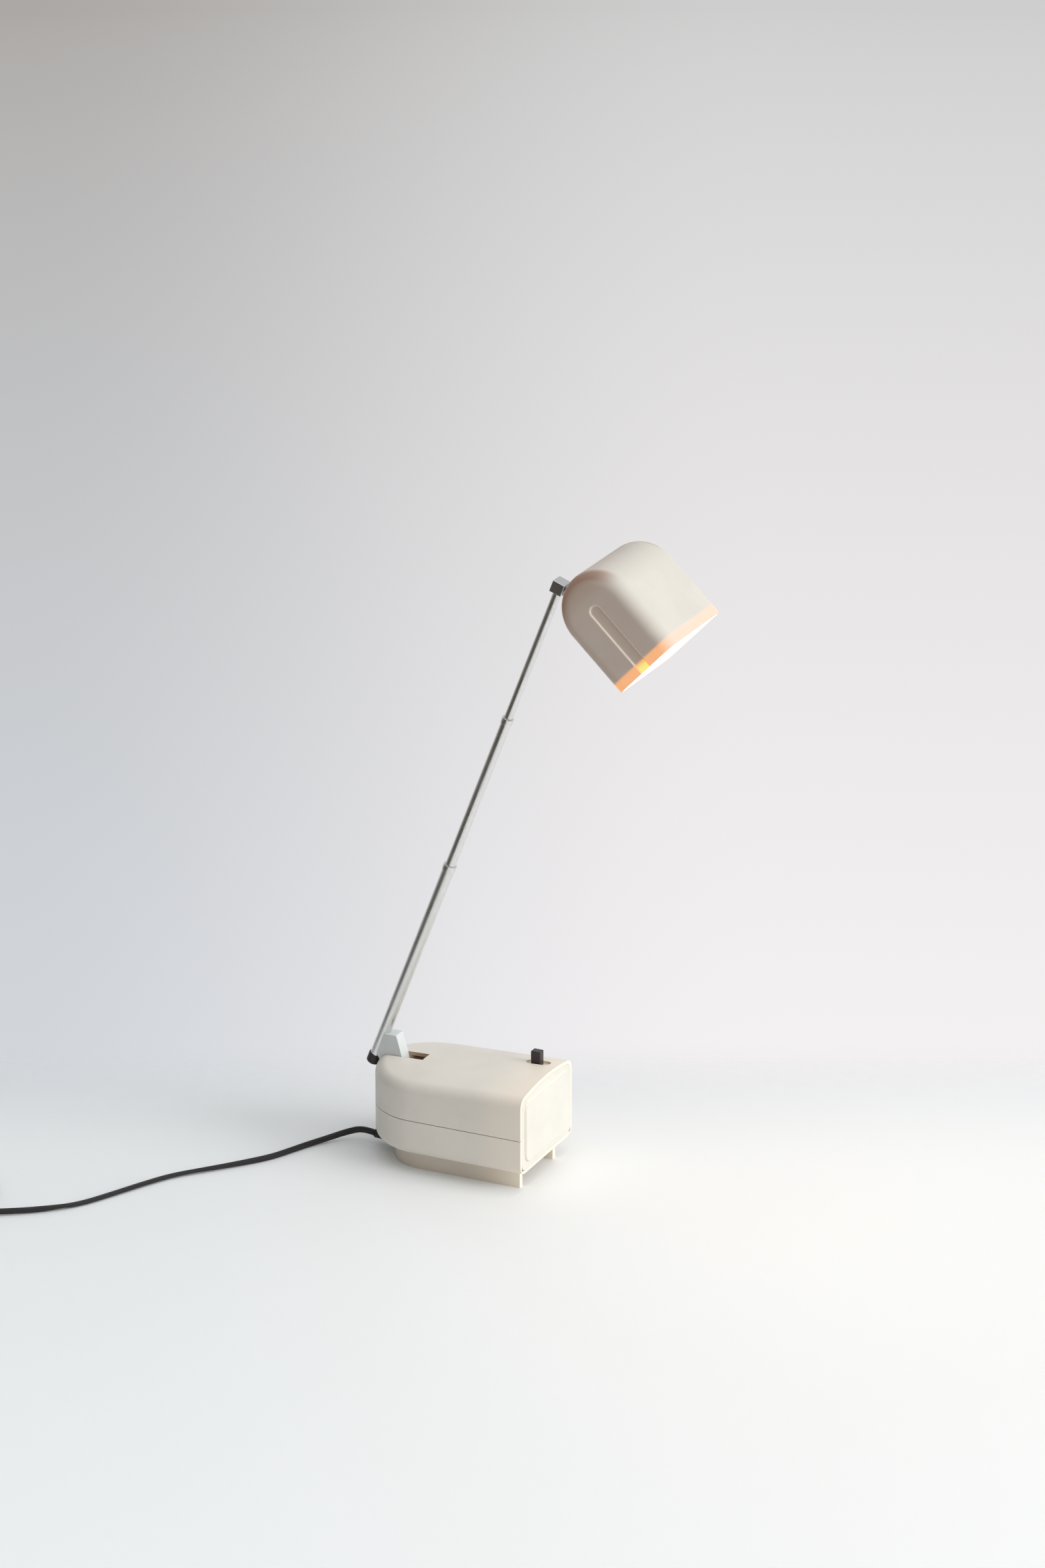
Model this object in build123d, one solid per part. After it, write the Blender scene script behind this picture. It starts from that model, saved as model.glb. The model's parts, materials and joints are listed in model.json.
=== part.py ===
from build123d import *
import math
import os

# Folding telescopic desk lamp, in millimetres. X runs from the round back of the base to its front,
# Y across the base and Z up from the floor. While it is built, X is 0 at the back of the base.

# Casing of the base
base_length = 121.0
base_width = 80.0
front_height = 71.5
foot_height = 14.0
seam_height = 39.0
casing_wall = 2.5
crown_radius = 200.0
roof_drop = 4.65
top_edge_radius = 8.0
bottom_edge_radius = 7.0
seam_gap = 0.5
lip_height = 2.0
fit_gap = 0.1

# Front panel and its raised plateau
panel_thickness = 3.0
plateau_margin = 7.0
plateau_proud = 1.4
plateau_corner = 6.0
plateau_edge = 0.6

# Foot wall under the casing
foot_inset = 12.5
foot_setback = 6.3
foot_wall = 4.0

# Screws of the casing and of the foot
screw_radius = 1.5
screw_head_radius = 2.9
screw_head_height = 2.0
boss_radius = 3.6
boss_front = 15.0
boss_back = 30.0
boss_margin = 9.5
screw_bite = 10.0
foot_screw_radius = 1.1
foot_screw_head_radius = 1.9
foot_screw_head_height = 1.2
foot_screw_depth = 8.0
foot_screw_front = 37.0

# Slot and pivot of the arm
slot_width = 10.5
slot_length = 33.0
slot_below = 12.8
cheek_thickness = 4.0
cheek_length = 20.0
cheek_below = 7.0
pivot_x = 10.8
pivot_radius = 2.0
pivot_head_radius = 3.4
pivot_head_height = 1.2
clip_thickness = 0.8
arm_offset = 15.0
arm_elevation = 68.8
arm_upright = 90.0
running_gap = 0.05

# Arm tubes
outer_radius = 4.0
middle_radius = 3.4
upper_radius = 2.8
tube_wall = 0.4
outer_start = -3.4
outer_end = 150.6
middle_show = 115.7
upper_show = 97.9
middle_travel = 95.0
roof_clearance = 0.35
folded_clearance = 0.4
collar_wall = 0.5
collar_grip = 3.0
collar_lip = 1.2
slider_length = 5.0
slider_spigot = 4.0
lead_bore = 1.5
stop_gap = 0.3

# End cap of the arm
cap_length = 7.0
cap_radius = 4.7
cap_sleeve = 1.2
cap_plug = 5.0
cap_edge = 1.6

# Bracket between the arm and the pivot
bracket_side_gap = 0.25
bracket_rise = 20.6
bracket_top_depth = 10.1
bracket_boss_radius = 8.2
bracket_saddle = 1.5
bracket_low = 1.5
bracket_corner = 0.9
rivet_radius = 1.2
rivet_bite = 4.0
rivet_places = (5.0, 14.0)

# Shade
shade_height = 54.0
shade_width = 80.0
shade_straight = 46.6
shade_wall = 2.0
shade_edge_radius = 9.0
shade_pitch = 43.9
groove_length = 52.0
groove_width = 8.4
groove_rise = 1.0
groove_depth = 0.9
reflector_gap = 0.4
reflector_wall = 0.8
reflector_setback = 6.5

# Hinge of the shade
hinge_offset = 8.0
hinge_gap = 9.1
hinge_turn = 227.7
hinge_pin_radius = 1.5
eye_radius = 3.3
tongue_thickness = 5.0
washer_thickness = 0.35
knuckle_width = 10.0
knuckle_depth = 8.7
knuckle_height = 8.3
knuckle_edge = 0.5
spigot_length = 9.0
tilt_open = 50.0
swivel_range = 90.0
saddle_thickness = 2.0
saddle_width = 20.0
saddle_spread = 23.5
lug_screw_radius = 1.1
lug_screw_head_radius = 2.0
lug_screw_head_height = 1.0
lug_screw_spread = 17.5
lug_screw_y = 7.4
lug_screw_reach = 1.6
lug_screw_head_edge = 0.4

# Lamp inside the shade
holder_radius = 9.5
holder_bore = 7.7
holder_front = -9.0
holder_floor = 3.0
lamp_cap_radius = 7.5
lamp_cap_length = 10.0
lamp_neck_radius = 6.6
lamp_globe_radius = 11.0
lamp_globe_x = 7.0

# Slide switch
switch_front = 16.0
switch_side = 20.0
switch_travel = 5.0
knob_length = 6.8
knob_width = 5.6
knob_proud = 6.7
knob_edge = 0.4
knob_lift = 0.3
stem_length = 3.6
stem_width = 2.8
stem_depth = 3.0
recess_front = 15.0
recess_length = 17.0
recess_width = 9.0
recess_depth = 3.7
switch_pad_size = (22.0, 13.0)
switch_pad_depth = 7.0
switch_body_size = (20.0, 11.0, 9.0)
switch_screw_radius = 0.9
switch_screw_offset = 8.2
switch_screw_bite = 2.0

# Transformer and terminal block
core_stack = 22.0
core_headroom = 17.0
core_gap = 9.0
winding_margin = 8.0
winding_gap = 0.2
strap_thickness = 1.0
strap_width = 14.0
strap_foot = 7.0
strap_screw_radius = 1.4
strap_screw_head_radius = 2.6
strap_screw_head_height = 1.4
terminal_size = (10.0, 20.0, 12.0)
terminal_x = 33.0
terminal_bore = 1.6
terminal_pitch = 9.0

# Mains cord, its relief, coil and plug
cord_radius = 2.2
corner_share = 0.45
relief_y = -4.0
relief_z = 8.0
relief_tip_x = -3.0
relief_tip_radius = 2.9
relief_root_radius = 3.8
relief_flange_radius = 5.0
relief_flange = 1.5
relief_inner_end = 2.0
lead_rise_x = 25.0
lead_bend = 7.0
coil_lift = 1.5
coil_centre = (-222.0, -198.5)
coil_inner_radius = 13.0
coil_turns_per_layer = 4.5
coil_climb = 0.5
coil_pitch = 5.0
coil_layer = 4.9
coil_start_angle = -59.3
coil_last_turn = -0.24
coil_approach = 15.0
tie_thickness = 1.1
tie_width = 4.0
tie_gap = 0.3
tie_angles = (120.0, 350.0)
tail_length = 40.0
tail_drop = 2.6
plug_length = 36.0
plug_width = 26.0
plug_height = 12.0
plug_nose_width = 15.0
plug_neck = 3.5
plug_waist = 10.8
plug_shoulder = 27.0
pin_radius = 2.0
pin_length = 19.0
pin_spacing = 18.6
pin_sunk = 3.0

# Route of the cord over the floor, from the relief to the coil, as it lies beside the lamp
cord_route = [
    (-3.0, -4.0, 8.0),
    (-12.0, -4.0, 8.0),
    (-25.0, -5.0, 7.4),
    (-36.0, -12.8, 4.4),
    (-42.0, -27.0, 2.6),
    (-47.0, -41.5, 2.3),
    (-54.0, -57.0, 2.2),
    (-66.0, -73.0, 2.3),
    (-82.0, -91.0, 2.2),
    (-99.0, -109.0, 2.2),
    (-110.0, -130.0, 2.3),
    (-121.0, -153.0, 2.2),
    (-132.0, -175.0, 2.2),
    (-149.0, -195.0, 2.5),
    (-172.0, -211.0, 3.0),
]


# Sizes worked out from the ones above
def sin(degrees):
    return math.sin(math.radians(degrees))


def cos(degrees):
    return math.cos(math.radians(degrees))


def tan(degrees):
    return math.tan(math.radians(degrees))


half_width = base_width / 2
roof_slope = math.degrees(math.atan(roof_drop / base_length))
casing_floor = foot_height + casing_wall
panel_back = base_length - panel_thickness
boss_places = [(x, half_width - boss_margin) for x in (base_length - boss_front, boss_back)]
folded_axis_height = front_height + outer_radius + roof_clearance
pivot_z = folded_axis_height - arm_offset
slot_floor = pivot_z - slot_below
cheek_floor = pivot_z - cheek_below
switch_x = base_length - switch_front
switch_y = half_width - switch_side
recess_x = base_length - recess_front
recess_floor = front_height - recess_depth
switch_pad_floor = front_height - switch_pad_depth
knob_top = front_height + knob_proud
core_back = terminal_x + terminal_size[0] / 2 + core_gap + strap_foot + strap_thickness
core_front = panel_back - core_gap - strap_foot - strap_thickness
core_x = (core_back + core_front) / 2
core_length = core_front - core_back
core_height = front_height - casing_floor - core_headroom
core_leg = core_length / 3
core_yoke = core_leg / 2
bracket_width = slot_width - 2 * bracket_side_gap
dome_radius = shade_height / 2
hinge_x = (dome_radius + hinge_gap) * cos(hinge_turn)
hinge_z = (dome_radius + hinge_gap) * sin(hinge_turn)
middle_end = outer_end + middle_show
knuckle_start = middle_end + upper_show
hinge_reach = knuckle_start + knuckle_height / 2
folded_gap = plateau_proud + folded_clearance
folded_reach = base_length + folded_gap + shade_straight - hinge_x - pivot_x
upper_travel = hinge_reach - folded_reach - middle_travel
cap_plug_end = outer_start + cap_plug
middle_start = cap_plug_end + stop_gap + slider_length + middle_travel
upper_start = middle_start + slider_spigot + stop_gap + slider_length + upper_travel
coil_reversal = coil_turns_per_layer + coil_climb / 2
coil_turns = 2 * coil_reversal + coil_last_turn
fork_gap = tongue_thickness + 2 * (washer_thickness + running_gap)
fork_cheek = (knuckle_width - fork_gap) / 2

# Frames of the arm and of the shade: the arm's Z runs up its axis from the foot of the pivot, its X
# points to the pivot; the shade's X points out of its mouth, and its Z away from its hinge
arm_frame = Plane(
    origin=(pivot_x - arm_offset * sin(arm_elevation), 0, pivot_z + arm_offset * cos(arm_elevation)),
    x_dir=(sin(arm_elevation), 0, -cos(arm_elevation)),
    z_dir=(cos(arm_elevation), 0, sin(arm_elevation)),
)
hinge_point = arm_frame.origin + arm_frame.z_dir * hinge_reach + arm_frame.x_dir * hinge_offset
mouth_dir = Vector(cos(shade_pitch), 0, -sin(shade_pitch))
shade_up = Vector(sin(shade_pitch), 0, cos(shade_pitch))
shade_frame = Plane(
    origin=hinge_point - mouth_dir * hinge_x - shade_up * hinge_z,
    x_dir=mouth_dir,
    z_dir=shade_up,
)
tilt_fold = arm_elevation + shade_pitch - 180.0


def slab(low, high):
    """Everything between two heights."""
    size = 4 * base_length
    return Pos(0, 0, (low + high) / 2) * Box(size, size, high - low)


def block(low, high):
    """A box between two corners."""
    size = [b - a for a, b in zip(low, high)]
    middle = [(a + b) / 2 for a, b in zip(low, high)]
    return Pos(*middle) * Box(*size)


def rod(radius, low, high):
    """A round bar along Z."""
    return Pos(0, 0, (low + high) / 2) * Cylinder(radius, high - low)


def across(radius, length):
    """A round bar along Y, centred."""
    return Rot(90, 0, 0) * Cylinder(radius, length)


def group(shapes):
    """Several separate solids as one piece."""
    return Compound([solid for shape in shapes for solid in shape.solids()])


def u_plan(inset, front):
    """The base seen from above, drawn in by an inset on its sides and its round back."""
    half = half_width - inset
    back = ThreePointArc((half_width, half), (inset, 0), (half_width, -half))
    sides = Polyline((half_width, -half), (front, -half), (front, half), (half_width, half))
    return make_face([*back.edges(), *sides.edges()])


def roof_height(x, y):
    """Height of the crowned roof over a point."""
    return front_height - (base_length - x) * tan(roof_slope) - y * y / (2 * crown_radius)


def casing_form(inset, front=base_length):
    """The whole casing as a solid, drawn in by an inset everywhere but at the front."""
    floor = foot_height + inset
    solid = Pos(0, 0, floor) * extrude(u_plan(inset, front), front_height)
    roof_dir = Vector(cos(roof_slope), 0, sin(roof_slope))
    roof_normal = Vector(-sin(roof_slope), 0, cos(roof_slope))
    crown_axis = Vector(base_length, 0, front_height) - roof_normal * crown_radius
    crown = Plane(crown_axis, x_dir=(0, 1, 0), z_dir=roof_dir) * Cylinder(crown_radius - inset, 4 * base_length)
    solid = solid & crown
    for face, radius in (
        (-1, top_edge_radius),
        (0, bottom_edge_radius),
    ):
        edges = solid.faces().sort_by(Axis.Z)[face].edges()
        rim = [edge for edge in edges if (edge @ 0.5).X < front - fit_gap]
        solid = fillet(rim, radius - inset)
    return solid


outer_form = casing_form(0)
hollow_form = casing_form(casing_wall, base_length + 1)
mid_form = casing_form(casing_wall / 2, base_length + 1)
lip_form = casing_form(casing_wall / 2 + fit_gap)


def mirrored_places(places):
    """Each place and its twin across the centre line."""
    return [(x, side * y) for x, y in places for side in (-1, 1)]


def base_upper_shell():
    shell = (outer_form - hollow_form) & slab(seam_height + seam_gap / 2, 2 * front_height)
    shell -= mid_form & slab(0, seam_height + lip_height + fit_gap)
    cheek_y = slot_width / 2 + cheek_thickness / 2
    inner = []
    for side in (-1, 1):
        inner.append(
            Pos(cheek_length / 2, side * cheek_y, cheek_floor + front_height / 2)
            * Box(cheek_length, cheek_thickness, front_height)
        )
    for x, y in mirrored_places(boss_places):
        inner.append(Pos(x, y, 0) * rod(boss_radius, seam_height + fit_gap, 2 * front_height))
    pad_length, pad_width = switch_pad_size
    inner.append(
        Pos(recess_x, switch_y, switch_pad_floor + front_height / 2)
        * Box(pad_length, pad_width, front_height)
    )
    for piece in inner:
        shell += piece & mid_form & slab(0, front_height) & block(
            (0, -base_width, 0), (panel_back - fit_gap, base_width, 2 * front_height)
        )
    shell -= block((-slot_length, -slot_width / 2, slot_floor), (slot_length, slot_width / 2, 2 * front_height))
    shell -= Pos(pivot_x, 0, pivot_z) * across(pivot_radius + fit_gap / 4, base_width / 2)
    for x, y in mirrored_places(boss_places):
        shell -= Pos(x, y, 0) * rod(screw_radius + fit_gap / 2, seam_height, seam_height + screw_bite + fit_gap)
    shell -= Pos(recess_x, switch_y, recess_floor) * extrude(
        SlotOverall(recess_length, recess_width), front_height
    )
    shell -= Pos(switch_x + switch_travel / 2, switch_y, recess_floor) * Box(
        stem_length + switch_travel + 6 * fit_gap, stem_width + 6 * fit_gap, front_height / 4
    )
    for side in (-1, 1):
        shell -= Pos(recess_x + side * switch_screw_offset, switch_y, 0) * rod(
            switch_screw_radius + fit_gap / 2, switch_pad_floor, switch_pad_floor + switch_screw_bite
        )
    return shell


def base_lower_shell():
    shell = (outer_form - hollow_form) & slab(0, seam_height - seam_gap / 2)
    shell += (lip_form - hollow_form) & slab(seam_height - lip_height, seam_height + lip_height)
    for x, y in mirrored_places(boss_places):
        shell += Pos(x, y, 0) * rod(boss_radius, foot_height + fit_gap, seam_height)
    shell -= block(
        (panel_back - fit_gap, -half_width + casing_wall, casing_floor),
        (base_length + 1, half_width - casing_wall, front_height),
    )
    for x, y in mirrored_places(boss_places):
        shell -= Pos(x, y, 0) * rod(screw_radius + fit_gap / 2, 0, front_height)
        shell -= Pos(x, y, 0) * rod(screw_head_radius + fit_gap, 0, foot_height + screw_head_height + fit_gap)
    for x, y in foot_screw_places():
        shell -= Pos(x, y, 0) * rod(foot_screw_radius + fit_gap / 2, 0, front_height)
    shell -= Pos(lead_rise_x, relief_y, 0) * rod(cord_radius + 3 * fit_gap, 0, 2 * foot_height)
    for side in (-1, 1):
        shell -= Pos(core_x + side * strap_screw_x(), 0, 0) * rod(
            strap_screw_radius + fit_gap / 2, foot_height + fit_gap, front_height
        )
    return shell


def front_panel():
    plate = casing_form(casing_wall + fit_gap) & block(
        (panel_back, -base_width, 0), (base_length, base_width, 2 * front_height)
    )
    low = foot_height + plateau_margin
    high = roof_height(base_length, half_width) - plateau_margin / 2
    face = RectangleRounded(base_width - 2 * plateau_margin, high - low, plateau_corner)
    plateau = Plane((base_length, 0, (low + high) / 2), x_dir=(0, 1, 0), z_dir=(1, 0, 0)) * extrude(
        face, plateau_proud
    )
    front = plateau.faces().sort_by(Axis.X)[-1]
    plateau = fillet(front.edges(), plateau_edge)
    return plate + plateau


def foot_screw_places():
    """Middle of the foot wall: one at its back, one on each side."""
    side = half_width - foot_inset - foot_wall / 2
    back_turn = 45.0
    corner = (half_width - side * cos(back_turn), side * sin(back_turn))
    return mirrored_places(((base_length - foot_screw_front, side), corner))


def foot_skirt():
    front = base_length - foot_setback
    wall = extrude(u_plan(foot_inset, front), foot_height)
    wall -= extrude(u_plan(foot_inset + foot_wall, front + 1), foot_height)
    for x, y in foot_screw_places():
        wall -= Pos(x, y, 0) * rod(
            foot_screw_radius + fit_gap / 2, foot_height - foot_screw_depth - fit_gap, foot_height
        )
    wall -= Pos(foot_inset + foot_wall / 2, relief_y, relief_z) * (
        Rot(0, 90, 0) * Cylinder(relief_root_radius + fit_gap / 2, 4 * foot_wall)
    )
    seat = foot_inset + foot_wall + fit_gap / 2
    wall -= Pos(seat + foot_wall, relief_y, relief_z) * (
        Rot(0, 90, 0) * Cylinder(relief_flange_radius + fit_gap, 2 * foot_wall)
    )
    return wall


def screw(radius, head_radius, head_height, length):
    """A screw that points up, with the underside of its head at Z = 0."""
    return rod(radius, 0, length) + rod(head_radius, -head_height, 0)


def base_screws():
    length = seam_height + screw_bite - foot_height - screw_head_height
    one = screw(screw_radius, screw_head_radius, screw_head_height, length)
    seat = foot_height + screw_head_height
    return group([Pos(x, y, seat) * one for x, y in mirrored_places(boss_places)])


def foot_screws():
    length = casing_wall + foot_screw_depth
    one = screw(foot_screw_radius, foot_screw_head_radius, foot_screw_head_height, length)
    return group(
        [Pos(x, y, casing_floor) * (Rot(180, 0, 0) * one) for x, y in foot_screw_places()]
    )


def pivot_pin():
    reach = slot_width / 2 + cheek_thickness
    pin = Pos(0, clip_thickness / 2, 0) * across(pivot_radius, 2 * reach + clip_thickness)
    head = Pos(0, -reach - pivot_head_height / 2, 0) * across(pivot_head_radius, pivot_head_height)
    return Pos(pivot_x, 0, pivot_z) * (pin + head)


def pivot_clip():
    reach = slot_width / 2 + cheek_thickness
    ring = across(pivot_head_radius, clip_thickness) - across(pivot_radius, 2 * clip_thickness)
    return Pos(pivot_x, reach + clip_thickness / 2, pivot_z) * ring


def switch_body():
    length, width, height = switch_body_size
    body = Box(length, width, height) - Pos(switch_x + switch_travel / 2 - recess_x, 0, height / 2) * Box(
        stem_length + switch_travel + 6 * fit_gap, stem_width + 6 * fit_gap, 2 * (stem_depth + fit_gap)
    )
    for side in (-1, 1):
        body -= Pos(side * switch_screw_offset, 0, 0) * Cylinder(switch_screw_radius + fit_gap / 2, height)
    return Pos(recess_x, switch_y, switch_pad_floor - height / 2) * body


def switch_screws():
    height = switch_body_size[2]
    one = screw(switch_screw_radius, 2 * switch_screw_radius, switch_screw_radius, height + switch_screw_bite)
    seat = switch_pad_floor - height
    return group(
        [
            Pos(recess_x + side * switch_screw_offset, switch_y, seat) * one for side in (-1, 1)
        ]
    )


def switch_knob():
    low = recess_floor + knob_lift
    cap = Pos(0, 0, (low + knob_top) / 2) * Box(knob_length, knob_width, knob_top - low)
    cap = fillet(cap.edges().filter_by(Axis.Z) + cap.faces().sort_by(Axis.Z)[-1].edges(), knob_edge)
    stem = block(
        (-stem_length / 2, -stem_width / 2, switch_pad_floor - stem_depth),
        (stem_length / 2, stem_width / 2, low),
    )
    return Pos(switch_x, switch_y, 0) * (cap + stem)


def core_centre():
    return Pos(core_x, 0, casing_floor + core_height / 2)


def transformer_core():
    """A core of plain E and I sheets: its windows and outer legs are half as wide as its middle leg."""
    core = Box(core_length, core_stack, core_height)
    for side in (-1, 1):
        core -= Pos(side * (core_leg + core_yoke) / 2, 0, 0) * Box(
            core_yoke, 2 * core_stack, core_height - 2 * core_yoke
        )
    return core_centre() * core


def transformer_winding():
    tall = core_height - 2 * core_yoke - 2 * winding_gap
    coil = Box(core_leg + 2 * core_yoke - 2 * winding_gap, core_stack + 2 * winding_margin, tall)
    coil = fillet(coil.edges().filter_by(Axis.Z), winding_margin / 2)
    coil -= Box(core_leg + 2 * winding_gap, core_stack + 2 * winding_gap, 2 * tall)
    return core_centre() * coil


def strap_screw_x():
    return core_length / 2 + strap_thickness + strap_foot / 2


def transformer_strap():
    reach = core_length / 2 + strap_thickness
    band = Box(2 * reach, strap_width, core_height + 2 * strap_thickness)
    band -= Box(core_length, 2 * strap_width, core_height)
    band &= slab(-core_height / 2, core_height)
    feet = Pos(0, 0, (strap_thickness - core_height) / 2) * Box(
        2 * (reach + strap_foot), strap_width, strap_thickness
    )
    feet -= Box(2 * reach, 2 * strap_width, 2 * core_height)
    strap = band + feet
    for side in (-1, 1):
        strap -= Pos(side * strap_screw_x(), 0, -core_height / 2) * Cylinder(
            strap_screw_radius + fit_gap / 2, 4 * strap_thickness
        )
    return core_centre() * strap


def transformer_screws():
    seat = casing_floor + strap_thickness
    length = strap_thickness + casing_wall - 3 * fit_gap
    one = Rot(180, 0, 0) * screw(strap_screw_radius, strap_screw_head_radius, strap_screw_head_height, length)
    return group([Pos(core_x + side * strap_screw_x(), 0, seat) * one for side in (-1, 1)])


def terminal_block():
    length, width, height = terminal_size
    body = Box(length, width, height)
    body = fillet(body.edges().filter_by(Axis.Y), terminal_bore / 2)
    for side in (-1, 1):
        body -= Pos(0, side * terminal_pitch / 2, 0) * (Rot(0, 90, 0) * Cylinder(terminal_bore, 2 * length))
        body -= Pos(0, side * terminal_pitch / 2, height / 2) * Cylinder(terminal_bore, height)
    return Pos(terminal_x, 0, casing_floor + height / 2) * body


def strain_relief():
    root = foot_inset + foot_wall
    sleeve = Rot(0, 90, 0) * Cone(relief_tip_radius, relief_root_radius, foot_inset - relief_tip_x)
    sleeve = Pos((relief_tip_x + foot_inset) / 2, 0, 0) * sleeve
    neck = Pos(foot_inset + foot_wall / 2, 0, 0) * (Rot(0, 90, 0) * Cylinder(relief_root_radius, foot_wall))
    flange = Pos(root + relief_flange / 2 + fit_gap, 0, 0) * (
        Rot(0, 90, 0) * Cylinder(relief_flange_radius, relief_flange)
    )
    neck_end = Pos(root + fit_gap / 2, 0, 0) * (Rot(0, 90, 0) * Cylinder(relief_root_radius, fit_gap))
    relief = sleeve + neck + neck_end + flange
    relief -= Pos(root, 0, 0) * (Rot(0, 90, 0) * Cylinder(cord_radius, 2 * relief_inner_end))
    return Pos(0, relief_y, relief_z) * relief


def mains_lead():
    """The cord's inner end, from the relief up through the casing's floor beside the terminal block."""
    start = foot_inset + foot_wall - relief_inner_end
    line = FilletPolyline(
        (start, relief_y, relief_z),
        (lead_rise_x, relief_y, relief_z),
        (lead_rise_x, relief_y, casing_floor + terminal_size[2] / 2),
        radius=lead_bend,
    )
    return sweep(Plane(line @ 0, z_dir=line % 0) * Circle(cord_radius), path=line)


def bracket_top(depth):
    """Height of the bracket's top along the arm; the top is level while the arm leans as built."""
    return (bracket_rise + (depth - arm_offset) * cos(arm_elevation)) / sin(arm_elevation)


def arm_bracket():
    centre = Vector(arm_offset, 0)
    top = Vector(bracket_top_depth, bracket_top(bracket_top_depth))
    reach = (top - centre).length
    lean = math.degrees(math.atan2(top.Y - centre.Y, top.X - centre.X))
    front_turn = lean - math.degrees(math.acos(bracket_boss_radius / reach))
    low = Vector(bracket_saddle, bracket_low)
    low_reach = (low - centre).length
    low_lean = math.degrees(math.atan2(low.Y - centre.Y, low.X - centre.X))
    low_turn = low_lean + math.degrees(math.acos(bracket_boss_radius / low_reach))
    middle_turn = (front_turn + low_turn - 360.0) / 2
    turns = (front_turn, middle_turn, low_turn)
    front, middle, back = [centre + Vector(*polar(bracket_boss_radius, turn)) for turn in turns]
    outline = Polyline(back, low, (bracket_saddle, bracket_top(bracket_saddle)), top, front)
    round_end = ThreePointArc(front, middle, back)
    side = Plane.XZ * make_face([*outline.edges(), *round_end.edges()])
    plate = extrude(side, bracket_width / 2, both=True)
    corner = plate.edges().filter_by(Axis.Y).sort_by(Axis.Z)[-1]
    plate = fillet(corner, bracket_corner)
    plate -= rod(outer_radius, -arm_offset, 2 * bracket_rise)
    plate -= Pos(arm_offset, 0, 0) * across(pivot_radius + running_gap, 2 * bracket_width)
    for place in rivet_places:
        plate -= Pos(0, 0, place) * (Rot(0, 90, 0) * Cylinder(rivet_radius, 2 * rivet_end()))
    return arm_frame * plate


def rivet_end():
    """How far a rivet reaches into the bracket, from the arm's axis."""
    return outer_radius + rivet_bite


def bracket_rivets():
    """Rivets through the tube's front wall, flush with its bore."""
    one = Pos(rivet_end() / 2, 0, 0) * (Rot(0, 90, 0) * Cylinder(rivet_radius, rivet_end()))
    one -= rod(outer_radius - tube_wall, -outer_radius, outer_radius)
    return group([arm_frame * (Pos(0, 0, place) * one) for place in rivet_places])


def tube(radius, start, end):
    return rod(radius, start, end) - rod(radius - tube_wall, start - 1, end + 1)


def outer_tube():
    shape = tube(outer_radius, outer_start, outer_end)
    for place in rivet_places:
        shape -= Pos(outer_radius, 0, place) * (Rot(0, 90, 0) * Cylinder(rivet_radius, 2 * outer_radius))
    return arm_frame * shape


def end_cap():
    low = outer_start - cap_length + cap_sleeve
    cap = rod(cap_radius, low, outer_start + cap_sleeve)
    cap = fillet(cap.faces().sort_by(Axis.Z)[0].edges(), cap_edge)
    cap -= rod(outer_radius, outer_start, outer_start + 2 * cap_sleeve)
    cap += rod(outer_radius - tube_wall - fit_gap / 4, outer_start, cap_plug_end)
    return arm_frame * cap


def collar(tube_radius, inner_radius, end):
    grip = rod(tube_radius + collar_wall, end - collar_grip, end + collar_lip)
    grip = fillet(grip.edges().filter_by(GeomType.CIRCLE), collar_wall / 2)
    grip -= rod(tube_radius, end - 2 * collar_grip, end)
    return grip - rod(inner_radius + running_gap, end - collar_grip, end + 2 * collar_lip)


def outer_collar():
    return arm_frame * collar(outer_radius, middle_radius, outer_end)


def middle_tube():
    return arm_frame * tube(middle_radius, middle_start, middle_end)


def middle_collar():
    return arm_frame * collar(middle_radius, upper_radius, middle_end)


def slider(guide_radius, tube_radius, start):
    """A guide on a tube's lower end, with a spigot in the tube and a bore for the lead."""
    guide = rod(guide_radius - tube_wall - running_gap, start - slider_length, start)
    spigot = rod(tube_radius - tube_wall - fit_gap / 4, start, start + slider_spigot)
    return guide + spigot - rod(lead_bore, start - 2 * slider_length, start + 2 * slider_spigot)


def middle_slider():
    return arm_frame * slider(outer_radius, middle_radius, middle_start)


def upper_tube():
    return arm_frame * tube(upper_radius, upper_start, knuckle_start)


def upper_slider():
    return arm_frame * slider(middle_radius, upper_radius, upper_start)


def knuckle():
    """A block on the tube, with the hinge's tongue on its front and a spigot that turns in the tube."""
    foot = -knuckle_height / 2
    body = block(
        (-knuckle_depth / 2, -knuckle_width / 2, foot + running_gap),
        (knuckle_depth / 2, knuckle_width / 2, knuckle_height / 2),
    )
    body = fillet(body.edges(), knuckle_edge)
    body += block((0, -tongue_thickness / 2, -eye_radius), (hinge_offset, tongue_thickness / 2, eye_radius))
    body += Pos(hinge_offset, 0, 0) * across(eye_radius, tongue_thickness)
    body -= Pos(hinge_offset, 0, 0) * across(hinge_pin_radius, 2 * knuckle_width)
    body += rod(upper_radius - tube_wall - running_gap, foot - spigot_length, foot + knuckle_edge)
    return arm_frame * (Pos(0, 0, hinge_reach) * body)


def hinge_pin():
    return Pos(*hinge_point) * across(hinge_pin_radius, knuckle_width - 2 * fit_gap)


def hinge_washers():
    ring = across(eye_radius - fit_gap, washer_thickness) - across(hinge_pin_radius, 2 * washer_thickness)
    place = (tongue_thickness + washer_thickness) / 2
    return group([Pos(*hinge_point) * (Pos(0, side * place, 0) * ring) for side in (-1, 1)])


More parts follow.
